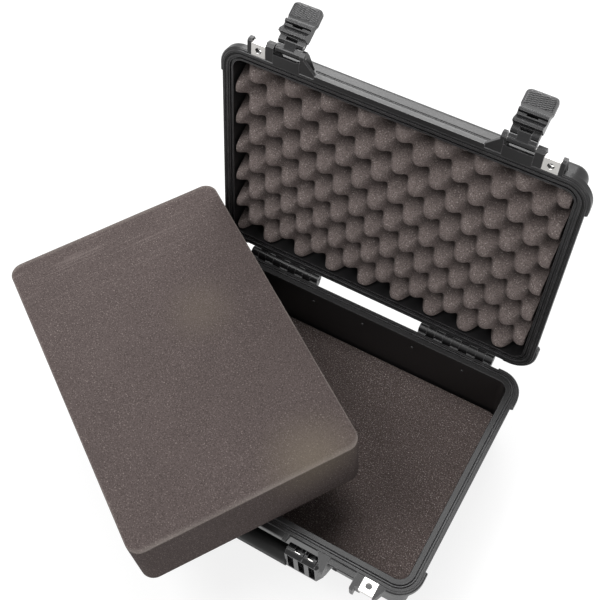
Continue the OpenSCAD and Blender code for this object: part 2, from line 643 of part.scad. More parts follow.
module handle_arm() {
    foot = -handle_drop;
    span = arm_out - arm_in;
    cell_w = span * 0.17;
    difference() {
        intersection() {
            fin(arm_in, arm_out, concat(arc(0, -2, arm_half, 150, 30, 6),
                [[arm_half, foot + 6], [arm_half - 5, foot], [-arm_half + 5, foot], [-arm_half, foot + 6]]));
            // outer front corner cut away
            translate([0, 0, foot - 1]) linear_extrude(handle_drop + 2 * arm_half) polygon(
                [[arm_in - 1, -arm_half - 1], [arm_out - end_cut, -arm_half - 1], [arm_out, end_cut - arm_half],
                    [arm_out, arm_half + 1], [arm_in - 1, arm_half + 1]]);
        }
        // outer lower corner cut away
        translate([arm_out, 0, foot]) rotate([0, 45, 0]) cube([2 * arm_half, 4 * arm_half, 2 * arm_half], center = true);
        // three cored pockets in the front face
        for (k = [0, 1, 2]) translate([arm_in + span * (0.07 + 0.3 * k), 0, 0])
            block([0, -arm_half - 1, foot + 9], [cell_w, pocket_d - arm_half, arm_top - 6.5]);
        // two cells open above, over the pin
        for (k = [0, 1]) translate([arm_in + span * (0.2 + 0.36 * k), 0, 0]) {
            block([0, -1.5, -6], [cell_w, arm_half - 2, arm_top + 3]);
            block([cell_w * 1.5, 1 - arm_half, arm_top - 3.5], [cell_w * 1.5 + 1.2, arm_half + 1, arm_top + 3]);
        }
        x_rod(pin_in, arm_out + 1, 0, 0, handle_pin_r + run_fit);
    }
}

module handle_frame() {
    core_z = -handle_drop + grip_h / 2;
    color(part_black) translate([0, handle_y, base_h + handle_z]) union() {
        for (s = [0, 1]) mirror([s, 0, 0]) handle_arm();
        block([-arm_in - 1, -core_t / 2, core_z - core_h / 2], [arm_in + 1, core_t / 2, core_z + core_h / 2]);
    }
}

module handle_grip() {
    core_z = -handle_drop + grip_h / 2;
    color(part_black) translate([-arm_in + soft_gap, handle_y, base_h + handle_z + core_z])
        rotate([90, 0, 90]) linear_extrude(2 * (arm_in - soft_gap)) difference() {
            round_rect(grip_t, grip_h, grip_t / 2 - 1);
            square([core_t + 0.2, core_h + 0.2], center = true);
        }
}

module handle_pin(side) {
    color(steel) mirror([side < 0 ? 1 : 0, 0, 0]) translate([0, 0, base_h])
        x_rod(pin_in + 0.5, arm_out + side_fit + fin_t - 0.3, handle_y, handle_z, handle_pin_r);
}

// ---------------------------------------------------------------- vent

vent_face = -half_w - wall_t - 2;
module vent_place(x) {
    translate([x, vent_y, base_h + vent_z]) rotate([0, -90, 0]) children();
}

module vent_body() {
    color(part_black) union() {
        vent_place(-half_w + 1) cylinder(r = 6, h = -vent_face - half_w + 3.5);
        vent_place(vent_face - 1.5) cylinder(r = vent_r, h = 3);
    }
}

module vent_seal() {
    color(part_black) vent_place(vent_face) difference() {
        cylinder(r = vent_r - 1, h = 1.5);
        translate([0, 0, -1]) cylinder(r = 6, h = 4);
    }
}

module vent_cap() {
    color(part_black) vent_place(vent_face - 4.5) difference() {
        cylinder(r = vent_r - 1.5, h = 4);
        for (a = [0:30:330]) rotate(a) translate([vent_r - 1.5, 0, -1]) cylinder(r = 1, h = 6, $fn = 16);
    }
}

base_shell();
lid_shell();
lid_seal();
lid_foam();
base_pad();
foam_block();
hinge_pin(-1);  // hinge_pin_left
hinge_pin(1);  // hinge_pin_right
color(steel) translate([0, 0, base_h]) lock_sleeve(-1);  // lock_sleeve_base_left
color(steel) translate([0, 0, base_h]) lock_sleeve(1);  // lock_sleeve_base_right
color(steel) lid_place() mirror([0, 0, 1]) lock_sleeve(-1);  // lock_sleeve_lid_left
color(steel) lid_place() mirror([0, 0, 1]) lock_sleeve(1);  // lock_sleeve_lid_right
latch_link(-1);  // latch_link_left
latch_link(1);  // latch_link_right
latch_lever(-1);  // latch_lever_left
latch_lever(1);  // latch_lever_right
latch_pin(-1);  // latch_pin_left
latch_pin(1);  // latch_pin_right
lever_pin(-1);  // lever_pin_left
lever_pin(1);  // lever_pin_right
handle_frame();
handle_grip();
handle_pin(-1);  // handle_pin_left
handle_pin(1);  // handle_pin_right
vent_body();
vent_cap();
vent_seal();
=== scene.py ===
# Microphone case, open, with its foam block laid across the rim.
# Metres. +X right and +Z up seen from the handle side, +Y towards the hinges.
# What rides on the lid is drawn as if the case were closed, and LID turns it to the open lid.
import json
import math

import bmesh
import bpy
import numpy as np
from mathutils import Matrix, Vector
from mathutils.bvhtree import BVHTree


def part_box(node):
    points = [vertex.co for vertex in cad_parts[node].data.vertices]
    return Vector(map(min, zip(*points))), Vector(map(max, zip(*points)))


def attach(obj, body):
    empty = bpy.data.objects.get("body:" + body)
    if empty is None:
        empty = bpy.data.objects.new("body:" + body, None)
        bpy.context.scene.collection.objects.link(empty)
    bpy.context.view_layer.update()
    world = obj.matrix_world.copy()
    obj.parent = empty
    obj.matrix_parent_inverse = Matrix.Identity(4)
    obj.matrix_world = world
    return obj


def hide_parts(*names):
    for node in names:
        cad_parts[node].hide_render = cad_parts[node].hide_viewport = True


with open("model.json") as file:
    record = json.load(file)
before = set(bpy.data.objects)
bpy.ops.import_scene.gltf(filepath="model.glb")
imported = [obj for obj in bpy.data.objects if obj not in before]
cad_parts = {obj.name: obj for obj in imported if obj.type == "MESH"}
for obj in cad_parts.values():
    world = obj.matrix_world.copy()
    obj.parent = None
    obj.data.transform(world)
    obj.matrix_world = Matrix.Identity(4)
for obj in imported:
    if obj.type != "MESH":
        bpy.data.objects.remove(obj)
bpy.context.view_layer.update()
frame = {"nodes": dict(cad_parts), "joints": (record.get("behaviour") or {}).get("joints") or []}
NODES = frame["nodes"]
JOINTS = {j["name"]: j for j in frame["joints"]}
MM = 0.001
SIDES = {"left": -1, "right": 1}


# ------------------------------------------------------------ places and sizes

def limit(joint):
    """How far a joint turns from rest, in radians."""
    return math.radians(JOINTS[joint]["range_deg"][1])


HINGE = Vector(JOINTS["lid_hinge"]["pos_m"])
RIM_Z = HINGE.z                 # parting plane of the closed case
LID_OPEN = limit("lid_hinge")
LID = Matrix.Translation(HINGE) @ Matrix.Rotation(-LID_OPEN, 4, "X") @ Matrix.Translation(-HINGE)
LEVER_TURN = -LID_OPEN - (limit("link_hinge_left") + limit("lever_hinge_left"))

SHELL_EDGE = 0.5 * MM           # widths of the rounded edges
HANDLE_EDGE = 0.6 * MM
LATCH_EDGE = 0.4 * MM
TRIM_EDGE = 0.4 * MM
BEVEL_FROM = math.radians(32)   # edges sharper than this are rounded
JOIN_UNDER = math.radians(0.6)  # and faces that meet flatter than this are joined

HINGE_X = 128.5 * MM            # middle of each hinge
HINGE_HALF = 52.1 * MM          # half its length
ARMS_HALF = 8.3 * MM            # half the gap between the arms of a latch lever
LINE_HALF = 116 * MM            # half the line along the lid's front wall

GRIP_START = -29.5 * MM         # thumb pad of a lever, from its pin along the closed lever
GRIP_TIP = -47 * MM
GRIP_HALF = 17.5 * MM
GRIP_CORNER = 6 * MM
GRIP_MARGIN = 1.3 * MM          # bare border round the cross-hatching
GRIP_PITCH = 2.2 * MM
GRIP_SLANT = math.radians(12)
GRIP_RISE = 0.3 * MM            # mean height of the ridges
GRIP_RIDGE = 0.14 * MM          # how far each of the two crossing sets rises and falls from it
GRIP_SKIN = 0.25 * MM           # how deep the skin reaches into the lever
GRIP_FADE = 0.8 * MM            # over which the ridges die out at its two ends
GRIP_ROWS, GRIP_COLS = 64, 56

CRATE_HALF = (209.3 * MM, 140 * MM)
CRATE_CORNER = 11 * MM
CRATE_PITCH = (48.4 * MM, 47.7 * MM)
CRATE_FIRST = (9.3 * MM, 20 * MM)   # a finger's place in x and y
CRATE_BROAD = 1.6               # above 1, fingers are broader than hollows
CRATE_DEPTH = 34 * MM
CRATE_TIP = 1.5 * MM            # from the parting plane to the tips
CRATE_BACK = 45.7 * MM          # and to the back of the sheet
CRATE_DROOP = 6 * MM            # how far the tips hang towards the hinges
CRATE_ROOM = 20 * MM            # beside the front and back walls, where they hang less

BLOCK_LOW, BLOCK_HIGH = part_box("foam_block")
BLOCK_CENTRE = (BLOCK_LOW + BLOCK_HIGH) / 2
BLOCK_TURN = math.radians(-33.2)
BLOCK_HALF = (211.5 * MM, 143 * MM)
BLOCK_CORNER = 17 * MM
BLOCK_HIGHLIGHT_FADE = 1.8 * MM            # over which the painted highlight along its top edges fades by one whole share
SAWN_END = (-190 * MM, -120 * MM)   # along the block, where saw lines are strong and where they die out
FADED_SPOTS = (                 # centre, reach and strength
    ((70 * MM, -95 * MM, 215 * MM), 80 * MM, 0.45),
    ((-150 * MM, 10 * MM, 215 * MM), 60 * MM, 0.2),
)

CORNER_STEPS = 10               # grid lines round a foam piece's corners
EDGE_STEPS = 6                  # and over its rounded edges


# ------------------------------------------------------------ shader trees

class Tree:
    """A node tree, with short ways to add and join its nodes."""

    def __init__(self, tree):
        self.tree = tree

    def node(self, kind, **values):
        """Adds a node. A value whose name is a socket goes on the socket, any other on the node."""
        node = self.tree.nodes.new(kind)
        for key, value in values.items():
            label = key.replace("_", " ")
            if label in node.inputs:
                node.inputs[label].default_value = value
            else:
                setattr(node, key, value)
        return node

    def link(self, source, target):
        self.tree.links.new(source, target)

    def ramp(self, source, *stops):
        """Maps a value through grey stops, each given as (position, grey)."""
        node = self.node("ShaderNodeValToRGB")
        elements = node.color_ramp.elements
        for element, (at, grey) in zip(elements, stops):
            element.position = at
            element.color = (grey, grey, grey, 1)
        self.link(source, node.inputs[0])
        return node.outputs[0]

    def maths(self, operation, a, b, clamp=False):
        node = self.node("ShaderNodeMath", operation=operation, use_clamp=clamp)
        for socket, value in zip(node.inputs, (a, b)):
            if isinstance(value, (int, float)):
                socket.default_value = value
            else:
                self.link(value, socket)
        return node.outputs[0]

    def times(self, a, b):
        return self.maths("MULTIPLY", a, b)

    def seen_directly(self):
        """One where the camera sees a surface, directly or in metal, gloss or glass."""
        path = self.node("ShaderNodeLightPath").outputs
        mirrored = self.maths("MAXIMUM", path["Is Glossy Ray"], path["Is Transmission Ray"])
        return self.maths("MAXIMUM", path["Is Camera Ray"], mirrored)


class Group(Tree):
    """A node group with named float inputs and outputs, which each material sets to its own values."""

    def __init__(self, name, inputs, outputs):
        super().__init__(bpy.data.node_groups.new(name, "ShaderNodeTree"))
        for label, value in inputs.items():
            socket = self.tree.interface.new_socket(label, in_out="INPUT", socket_type="NodeSocketFloat")
            socket.default_value = value
        for label in outputs:
            self.tree.interface.new_socket(label, in_out="OUTPUT", socket_type="NodeSocketFloat")
        self.start = self.tree.nodes.new("NodeGroupInput")
        self.end = self.tree.nodes.new("NodeGroupOutput")


def moulded_grain():
    """Fine spark-eroded texture of moulded plastic."""
    g = Group("moulded grain", {"Scale": 900.0}, ("Height", "Cloud"))
    at = g.node("ShaderNodeTexCoord").outputs["Object"]
    fine = g.node("ShaderNodeTexNoise", Detail=3.0, Roughness=0.6)
    g.link(at, fine.inputs["Vector"])
    g.link(g.start.outputs["Scale"], fine.inputs["Scale"])
    cloud = g.node("ShaderNodeTexNoise", Scale=14.0, Detail=4.0, Roughness=0.55)
    g.link(at, cloud.inputs["Vector"])
    g.link(fine.outputs["Fac"], g.end.inputs["Height"])
    g.link(cloud.outputs["Fac"], g.end.inputs["Cloud"])
    return g.tree


def edge_wear_and_highlight():
    """Mask of edges, worn and with a painted highlight: where the rounded normal leaves the true one, broken
    up by noise.
    """
    g = Group("edge wear and highlight", {"Radius": 1.2 * MM, "Amount": 1.0}, ("Mask",))
    rounded = g.node("ShaderNodeBevel", samples=4)
    g.link(g.start.outputs["Radius"], rounded.inputs["Radius"])
    true = g.node("ShaderNodeNewGeometry")
    likeness = g.node("ShaderNodeVectorMath", operation="DOT_PRODUCT")
    g.link(rounded.outputs["Normal"], likeness.inputs[0])
    g.link(true.outputs["Normal"], likeness.inputs[1])
    edge = g.ramp(g.maths("SUBTRACT", 1.0, likeness.outputs["Value"]), (0.01, 0.0), (0.2, 1.0))
    at = g.node("ShaderNodeTexCoord").outputs["Object"]
    noise = g.node("ShaderNodeTexNoise", Scale=120.0, Detail=5.0, Roughness=0.7)
    g.link(at, noise.inputs["Vector"])
    broken = g.ramp(noise.outputs["Fac"], (0.3, 0.25), (0.6, 1.0))
    mask = g.maths("MULTIPLY", g.times(edge, broken), g.start.outputs["Amount"], clamp=True)
    g.link(mask, g.end.inputs["Mask"])
    return g.tree


def open_cells():
    """Open foam cells: dark pores, pale struts, and soft patches where the foam was cut."""
    g = Group("open cells", {"Cell Scale": 700.0, "Patch Scale": 25.0}, ("Height", "Pore", "Strut", "Patch"))
    at = g.node("ShaderNodeTexCoord").outputs["Object"]
    cell = g.node("ShaderNodeTexVoronoi", Randomness=1.0)
    noise = g.node("ShaderNodeTexNoise", Detail=4.0, Roughness=0.75)
    patch = g.node("ShaderNodeTexNoise", Detail=3.0, Roughness=0.5)
    for node, label in ((cell, "Cell Scale"), (noise, "Cell Scale"), (patch, "Patch Scale")):
        g.link(at, node.inputs["Vector"])
        g.link(g.start.outputs[label], node.inputs["Scale"])
    pore = g.ramp(cell.outputs["Distance"], (0.15, 1.0), (0.5, 0.0))
    strut = g.ramp(noise.outputs["Fac"], (0.55, 0.0), (0.72, 1.0))
    g.link(g.maths("SUBTRACT", noise.outputs["Fac"], g.times(pore, 0.5)), g.end.inputs["Height"])
    g.link(pore, g.end.inputs["Pore"])
    g.link(strut, g.end.inputs["Strut"])
    g.link(patch.outputs["Fac"], g.end.inputs["Patch"])
    return g.tree


GRAIN = moulded_grain()
EDGE_WEAR_AND_HIGHLIGHT = edge_wear_and_highlight()
CELLS = open_cells()


# ------------------------------------------------------------ materials

class Finish(Tree):
    """A material round one Principled shader, with helpers for its own nodes."""

    def __init__(self, name, **values):
        self.material = bpy.data.materials.new(name)
        self.material.use_nodes = True
        super().__init__(self.material.node_tree)
        self.shader = self.tree.nodes["Principled BSDF"]
        for key, value in values.items():
            self.shader.inputs[key.replace("_", " ")].default_value = value

    def group(self, tree, **values):
        node = self.node("ShaderNodeGroup", node_tree=tree)
        for key, value in values.items():
            node.inputs[key.replace("_", " ")].default_value = value
        return node.outputs

    def mix(self, fac, low, high):
        """Mixes two colours, each a tuple or a socket."""
        node = self.node("ShaderNodeMix", data_type="RGBA")
        self.link(fac, node.inputs["Factor"])
        for label, value in (("A", low), ("B", high)):
            socket = [s for s in node.inputs if s.name == label and s.type == "RGBA"][0]
            if isinstance(value, tuple):
                socket.default_value = (*value, 1)
            else:
                self.link(value, socket)
        return [s for s in node.outputs if s.type == "RGBA"][0]

    def span(self, fac, low, high):
        node = self.node("ShaderNodeMapRange", To_Min=low, To_Max=high)
        self.link(fac, node.inputs["Value"])
        return node.outputs["Result"]

    def bump(self, height, distance, strength=1.0):
        node = self.node("ShaderNodeBump", Distance=distance, Strength=strength)
        self.link(height, node.inputs["Height"])
        self.feed(node.outputs["Normal"], "Normal")

    def feed(self, source, label):
        self.link(source, self.shader.inputs[label])


def tint(colour, share):
    return tuple(c * share for c in colour)


def plastic(name, base, pale_edges, rough, grain_scale, grain_depth, wear_and_highlight):
    """Moulded plastic or rubber. Its edges are paler, worn and with a painted highlight along them, in the
    colour given after base.
    """
    f = Finish(name, Specular_IOR_Level=0.34)
    grain = f.group(GRAIN, Scale=grain_scale)
    edge_mask = f.group(EDGE_WEAR_AND_HIGHLIGHT, Radius=1.2 * MM, Amount=wear_and_highlight)
    cloudy = f.mix(grain["Cloud"], tint(base, 0.8), tint(base, 1.25))
    # Paler edges: worn plastic, and a painted highlight along them.
    f.feed(f.mix(edge_mask["Mask"], cloudy, pale_edges), "Base Color")
    f.feed(f.span(grain["Cloud"], rough - 0.07, rough + 0.07), "Roughness")
    f.bump(grain["Height"], grain_depth)
    return f.material


def foam(name, base, pore, strut, cell_scale, depth, marks=None):
    """Open-cell foam. marks(f, colour) adds what only one piece shows."""
    f = Finish(name, Roughness=0.95, Specular_IOR_Level=0.1)
    cells = f.group(CELLS, Cell_Scale=cell_scale, Patch_Scale=22.0)
    tone = f.mix(cells["Patch"], tint(base, 0.9), tint(base, 1.1))
    pored = f.mix(f.times(cells["Pore"], 0.6), tone, pore)
    speckled = f.mix(f.times(cells["Strut"], 0.9), pored, strut)
    f.feed(marks(f, speckled) if marks else speckled, "Base Color")
    f.bump(cells["Height"], depth)
    return f.material


def saw_lines(f, at, colour):
    """Pale lines across the block, strong at its sawn end."""
    along = f.node("ShaderNodeMapping", vector_type="TEXTURE", Rotation=(0, 0, BLOCK_TURN),
                   Location=(BLOCK_CENTRE.x, BLOCK_CENTRE.y, 0))
    f.link(at, along.inputs["Vector"])
    stretch = f.node("ShaderNodeMapping", Scale=(330.0, 9.0, 9.0))
    f.link(along.outputs["Vector"], stretch.inputs["Vector"])
    noise = f.node("ShaderNodeTexNoise", Scale=1.0, Detail=2.0)
    f.link(stretch.outputs["Vector"], noise.inputs["Vector"])
    line = f.ramp(noise.outputs["Fac"], (0.56, 0.0), (0.66, 1.0))
    split = f.node("ShaderNodeSeparateXYZ")
    f.link(along.outputs["Vector"], split.inputs[0])
    end = f.node("ShaderNodeMapRange", From_Min=SAWN_END[0], From_Max=SAWN_END[1], To_Min=1.0, To_Max=0.12)
    f.link(split.outputs["X"], end.inputs["Value"])
    return f.mix(f.times(f.times(line, end.outputs[0]), 0.3), colour, (0.21, 0.175, 0.165))


def faded(f, at, colour, spot, reach, strength):
    """A spot where the block's colour has turned warmer and paler."""
    away = f.node("ShaderNodeVectorMath", operation="DISTANCE")
    f.link(at, away.inputs[0])
    away.inputs[1].default_value = spot
    near = f.node("ShaderNodeMapRange", interpolation_type="SMOOTHSTEP", From_Min=0.0, From_Max=reach,
                  To_Min=strength, To_Max=0.0)
    f.link(away.outputs["Value"], near.inputs["Value"])
    return f.mix(near.outputs[0], colour, (0.185, 0.155, 0.115))


def cut_marks_and_edge_highlight(f, colour):
    """What the block shows: saw lines, faded spots, and a painted highlight along its top edges."""
    at = f.node("ShaderNodeTexCoord").outputs["Object"]
    colour = saw_lines(f, at, colour)
    for spot, reach, strength in FADED_SPOTS:
        colour = faded(f, at, colour, spot, reach, strength)
    # Painted highlight along the top edges, paler where the share is high.
    edge = f.node("ShaderNodeAttribute", attribute_name="painted_light")
    return f.mix(f.times(edge.outputs["Fac"], 0.6), colour, (0.27, 0.24, 0.22))


def painted_hollow_shade(f, colour):
    """Painted shade in the hollows between the fingers, darker the deeper they go."""
    depth = f.node("ShaderNodeAttribute", attribute_name="painted_light")
    return f.mix(f.ramp(depth.outputs["Fac"], (0.25, 0.0), (0.9, 0.9)), colour, (0.016, 0.012, 0.012))


def brushed_steel(name):
    f = Finish(name, Metallic=1.0, Base_Color=(0.6, 0.59, 0.57, 1))
    at = f.node("ShaderNodeTexCoord").outputs["Object"]
    stretch = f.node("ShaderNodeMapping", Scale=(60.0, 2500.0, 2500.0))
    f.link(at, stretch.inputs["Vector"])
    lines = f.node("ShaderNodeTexNoise", Scale=1.0, Detail=3.0)
    f.link(stretch.outputs["Vector"], lines.inputs["Vector"])
    f.feed(f.span(lines.outputs["Fac"], 0.2, 0.42), "Roughness")
    f.bump(lines.outputs["Fac"], 0.02 * MM, 0.4)
    return f.material


# The pale edge colours stand for worn plastic and for painted highlights along the edges.
SHELL = plastic("shell plastic", base=(0.010, 0.0098, 0.0102), pale_edges=(0.15, 0.145, 0.15), rough=0.33,
                grain_scale=1100.0, grain_depth=0.05 * MM, wear_and_highlight=0.9)
HARDWARE = plastic("latch plastic", base=(0.0075, 0.0074, 0.008), pale_edges=(0.16, 0.155, 0.16), rough=0.27,
                   grain_scale=1400.0, grain_depth=0.03 * MM, wear_and_highlight=0.9)
RUBBER = plastic("black rubber", base=(0.006, 0.006, 0.006), pale_edges=(0.02, 0.02, 0.02), rough=0.6,
                 grain_scale=900.0, grain_depth=0.05 * MM, wear_and_highlight=0.2)
STEEL = brushed_steel("stainless sheet")
BLOCK_FOAM = foam("block foam", base=(0.087, 0.069, 0.066), pore=(0.03, 0.023, 0.021),
                  strut=(0.32, 0.27, 0.25), cell_scale=560.0, depth=0.5 * MM, marks=cut_marks_and_edge_highlight)
CRATE_FOAM = foam("egg crate foam", base=(0.17, 0.139, 0.131), pore=(0.05, 0.04, 0.037),
                  strut=(0.6, 0.53, 0.5), cell_scale=560.0, depth=0.6 * MM, marks=painted_hollow_shade)
PAD_FOAM = foam("pad foam", base=(0.104, 0.081, 0.076), pore=(0.012, 0.009, 0.008), strut=(0.75, 0.66, 0.62),
                cell_scale=620.0, depth=0.7 * MM)


# ------------------------------------------------------------ mesh helpers

def add_object(name, verts, faces, material, body):
    """A smooth-shaded mesh with its normals outwards, riding on `body`."""
    mesh = bpy.data.meshes.new(name)
    mesh.from_pydata([tuple(v) for v in verts], [], faces)
    mesh.validate()
    mesh.materials.append(material)
    mesh.polygons.foreach_set("use_smooth", [True] * len(mesh.polygons))
    obj = bpy.data.objects.new(name, mesh)
    bpy.context.scene.collection.objects.link(obj)
    work = bmesh.new()
    work.from_mesh(mesh)
    bmesh.ops.recalc_face_normals(work, faces=work.faces)
    work.to_mesh(mesh)
    work.free()
    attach(obj, body)
    return obj


def round_edges(obj, width):
    bevel = obj.modifiers.new("rounded edges", "BEVEL")
    bevel.width = width
    bevel.segments = 2
    bevel.limit_method = "ANGLE"
    bevel.angle_limit = BEVEL_FROM
    obj.modifiers.new("even shading", "WEIGHTED_NORMAL").keep_sharp = True


def two_faced_grid(rows, cols):
    """Faces of an upper and a lower grid of points, upper first, and the upper points round their border."""
    count = rows * cols
    faces = []
    for i in range(rows - 1):
        for j in range(cols - 1):
            a = i * cols + j
            faces.append((a, a + 1, a + cols + 1, a + cols))
            faces.append((count + a, count + a + cols, count + a + cols + 1, count + a + 1))
    first = [j for j in range(cols)]
    right = [i * cols + cols - 1 for i in range(1, rows)]
    last = [(rows - 1) * cols + j for j in range(cols - 2, -1, -1)]
    left = [i * cols for i in range(rows - 2, 0, -1)]
    return faces, first + right + last + left


def wall_band(low, high):
    """Faces between two closed rings of points."""
    n = len(low)
    return [(low[k], low[(k + 1) % n], high[(k + 1) % n], high[k]) for k in range(n)]


def spread(half, cell, edge, fine):
    """Symmetric grid lines from -half to half: even cells inside, finer ones within `edge` of the ends."""
    inner = half - edge
    count = max(2, round(2 * inner / cell))
    middle = np.linspace(-inner, inner, count + 1)
    steps = inner + edge * np.sin(np.linspace(0, math.pi / 2, fine + 1))[1:]
    return np.concatenate([-steps[::-1], middle, steps])


def rounded_inset(x, y, half, radius):
    """Distance of a point inside a rounded rectangle from its outline."""
    qx = np.abs(x) - (half[0] - radius)
    qy = np.abs(y) - (half[1] - radius)
    outside = np.hypot(np.maximum(qx, 0), np.maximum(qy, 0))
    return radius - outside - np.minimum(np.maximum(qx, qy), 0)


def foam_solid(name, half, radius, cell, top, bottom, edge, material, body, place, levels=6, bend=None,
               painted_light=None):
    """A closed foam piece on a rounded rectangle. top(x, y) and bottom(x, y) give its two faces.

    `levels` counts the rings up its wall, closer together near the top. bend moves the points, and the last
    argument gives each point a share from 0 to 1 of painted light or shade, which its foam's colour follows."""
    half_x, half_y = half
    ys = spread(half_y, cell, radius, CORNER_STEPS)
    us = spread(1.0, cell / half_x, edge / half_x, EDGE_STEPS)
    y = np.repeat(ys[:, None], len(us), axis=1)
    over = np.maximum(np.abs(ys) - (half_y - radius), 0)
    width = half_x - radius + np.sqrt(np.maximum(radius ** 2 - over ** 2, 0))
    x = width[:, None] * us[None, :]
    inset = np.maximum(rounded_inset(x, y, half, radius), 0)
    drop = edge - np.sqrt(np.maximum(edge ** 2 - np.maximum(edge - inset, 0) ** 2, 0))
    verts = [np.stack([x, y, top(x, y) - drop], -1).reshape(-1, 3),
             np.stack([x, y, bottom(x, y) + drop], -1).reshape(-1, 3)]
    flat = np.concatenate(verts)
    faces, ring = two_faced_grid(*x.shape)
    previous = [x.size + k for k in ring]
    low, high = flat[previous], flat[ring]
    base = len(flat)
    for level in range(1, levels):
        share = 1 - (1 - level / levels) ** 2
        verts.append(low * (1 - share) + high * share)
        current = [base + k for k in range(len(ring))]
        base += len(ring)
        faces += wall_band(previous, current)
        previous = current
    faces += wall_band(previous, ring)
    local = np.concatenate(verts)
    shares = np.clip(painted_light(local), 0, 1) if painted_light else None
    world = [place @ Vector(v) for v in (bend(local) if bend else local)]
    obj = add_object(name, world, faces, material, body)
    if painted_light:
        attribute = obj.data.attributes.new("painted_light", "FLOAT", "POINT")
        attribute.data.foreach_set("value", shares.astype(np.float32))
    return obj


# ------------------------------------------------------------ shells and hardware

def softened(node, name, body, material, width):
    """A moulded copy of a rigid CAD node with rounded edges, which stands for it."""
    mesh = NODES[node].data.copy()
    mesh.name = name
    work = bmesh.new()
    work.from_mesh(mesh)
    bmesh.ops.remove_doubles(work, verts=work.verts, dist=1e-6)
    bmesh.ops.dissolve_limit(work, angle_limit=JOIN_UNDER, verts=work.verts, edges=work.edges)
    work.to_mesh(mesh)
    work.free()
    mesh.materials.clear()
    mesh.materials.append(material)
    mesh.polygons.foreach_set("use_smooth", [True] * len(mesh.polygons))
    obj = bpy.data.objects.new(name, mesh)
    bpy.context.scene.collection.objects.link(obj)
    round_edges(obj, width)
    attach(obj, body)
    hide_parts(node)


def dress_hard_parts():
    softened("base_shell", "base-moulding", "base", SHELL, SHELL_EDGE)
    softened("lid_shell", "lid-moulding", "lid", SHELL, SHELL_EDGE)
    softened("handle_frame", "handle-frame", "handle", HARDWARE, HANDLE_EDGE)
    for side in SIDES:
        for part in ("lever", "link"):
            softened(f"latch_{part}_{side}", f"latch-{part}-{side}", f"{part}_{side}", HARDWARE, LATCH_EDGE)
    finishes = {"handle_grip": RUBBER, "lid_seal": RUBBER, "vent_seal": RUBBER, "vent_body": HARDWARE,
                "vent_cap": HARDWARE}
    for node, obj in NODES.items():
        material = finishes.get(node) or (STEEL if "pin" in node or "sleeve" in node else None)
        if material:
            obj.data.materials.clear()
            obj.data.materials.append(material)


def prism(name, profile, x0, x1, material, body, place):
    """A bar along X with rounded edges. `profile` is its outline as (y, z), in millimetres."""
    verts = [place @ Vector((x, y * MM, z * MM)) for x in (x0, x1) for y, z in profile]
    n = len(profile)
    faces = [tuple(range(n)), tuple(range(2 * n - 1, n - 1, -1))]
    faces += [(k, (k + 1) % n, n + (k + 1) % n, n + k) for k in range(n)]
    obj = add_object(name, verts, faces, material, body)
    round_edges(obj, TRIM_EDGE)


def lever_place(side):
    """From a lever drawn closed, with its pin at the origin, to the thrown-open lever."""
    return Matrix.Translation(JOINTS[f"lever_hinge_{side}"]["pos_m"]) @ Matrix.Rotation(LEVER_TURN, 4, "X")


def webs():
    """Thin webs: one under each hinge, from the base wall, and one between the arms of each latch lever."""
    under_hinge = [(146.5, -6.8), (157, -6.4), (168.5, -6.8), (169.5, -8.8), (146.5, -20.2)]
    between_arms = [(-4.2, -6.3), (4.2, -6.3), (4.2, -3.95), (-4.2, -3.95)]
    for side, sign in SIDES.items():
        prism(f"hinge-web-{side}", under_hinge, sign * HINGE_X - HINGE_HALF, sign * HINGE_X + HINGE_HALF,
              SHELL, "base", Matrix.Translation((0, 0, RIM_Z)))
        prism(f"latch-web-{side}", between_arms, -ARMS_HALF, ARMS_HALF,
              HARDWARE, f"lever_{side}", lever_place(side))


def front_line():
    """The raised line along the lid's front wall, between its latches."""
    profile = [(-147, 26.8), (-148.1, 27.2), (-148.1, 28.2), (-147, 28.6)]
    prism("lid-front-line", profile, -LINE_HALF, LINE_HALF,
          SHELL, "lid", LID @ Matrix.Translation((0, 0, RIM_Z)))


def crossing_ridges(u, w):
    """Sum of two sets of ridges, slanted either way across a thumb pad, from -2 to 2."""
    lean, run = u * math.sin(GRIP_SLANT), w * math.cos(GRIP_SLANT)
    return sum(math.cos(2 * math.pi * at / GRIP_PITCH) for at in (run + lean, run - lean))


def thumb_grip(side):
    """Cross-hatched skin on the thumb pad of a latch lever, laid on the lever's own surface."""
    source = NODES[f"latch_lever_{side}"].data
    surface = BVHTree.FromPolygons([v.co for v in source.vertices],
                                   [tuple(p.vertices) for p in source.polygons])
    place = lever_place(side)
    down = (place.to_3x3() @ Vector((0, -1, 0))).normalized()
    start, end = GRIP_START, GRIP_TIP + GRIP_MARGIN
    above, clear = 40 * MM, 0.02 * MM
    top, bottom = [], []
    for w in np.linspace(start, end, GRIP_ROWS):
        over = max(0.0, end + GRIP_CORNER - w)
        reach = GRIP_HALF - GRIP_MARGIN - GRIP_CORNER + math.sqrt(max(GRIP_CORNER ** 2 - over ** 2, 0))
        for share in np.linspace(-1, 1, GRIP_COLS):
            u = share * reach
            hit = surface.ray_cast(place @ Vector((u, above, w)), down)[0]
            rim = min(1.0, (1 - abs(share)) * 12, (start - w) / GRIP_FADE, (w - end) / GRIP_FADE)
            top.append(hit - down * (clear + rim * (GRIP_RISE + GRIP_RIDGE * crossing_ridges(u, w))))
            bottom.append(hit + down * GRIP_SKIN)
    faces, ring = two_faced_grid(GRIP_ROWS, GRIP_COLS)
    faces += wall_band([len(top) + k for k in ring], ring)
    obj = add_object(f"thumb-grip-{side}", top + bottom, faces, HARDWARE, f"lever_{side}")


# ------------------------------------------------------------ foam

def crate_height(x, y):
    """Depth of the egg-crate surface below its tips: staggered broad fingers with narrow hollows."""
    across = np.cos(2 * math.pi * (x - CRATE_FIRST[0]) / CRATE_PITCH[0])
    along = np.cos(2 * math.pi * (y - CRATE_FIRST[1]) / CRATE_PITCH[1])
    return CRATE_DEPTH * ((1 - across * along) / 2) ** CRATE_BROAD


